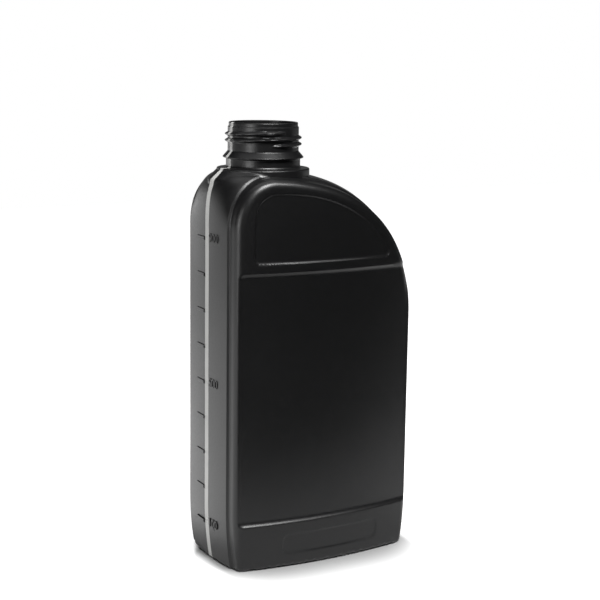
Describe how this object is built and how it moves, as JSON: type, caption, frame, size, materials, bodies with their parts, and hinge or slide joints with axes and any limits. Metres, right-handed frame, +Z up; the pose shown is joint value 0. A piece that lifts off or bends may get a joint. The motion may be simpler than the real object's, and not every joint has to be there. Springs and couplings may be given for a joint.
{
  "type": "oil bottle",
  "caption": "Hollow flat-sided oil bottle with an off-centre threaded neck, sunk label panels and a graduated view strip.",
  "frame": {"origin": "centre of the base, on the plane it stands on", "axes": "+Z up; -Y out of one wide face; -X out of the narrow side with the graduation, the side nearer the neck"},
  "size_m": [0.1056, 0.0638, 0.2174],
  "materials": {
    "bottle_plastic": "satin"
  },
  "bodies": {
    "root": {"bottle": "bottle_plastic"}
  },
  "joints": []
}
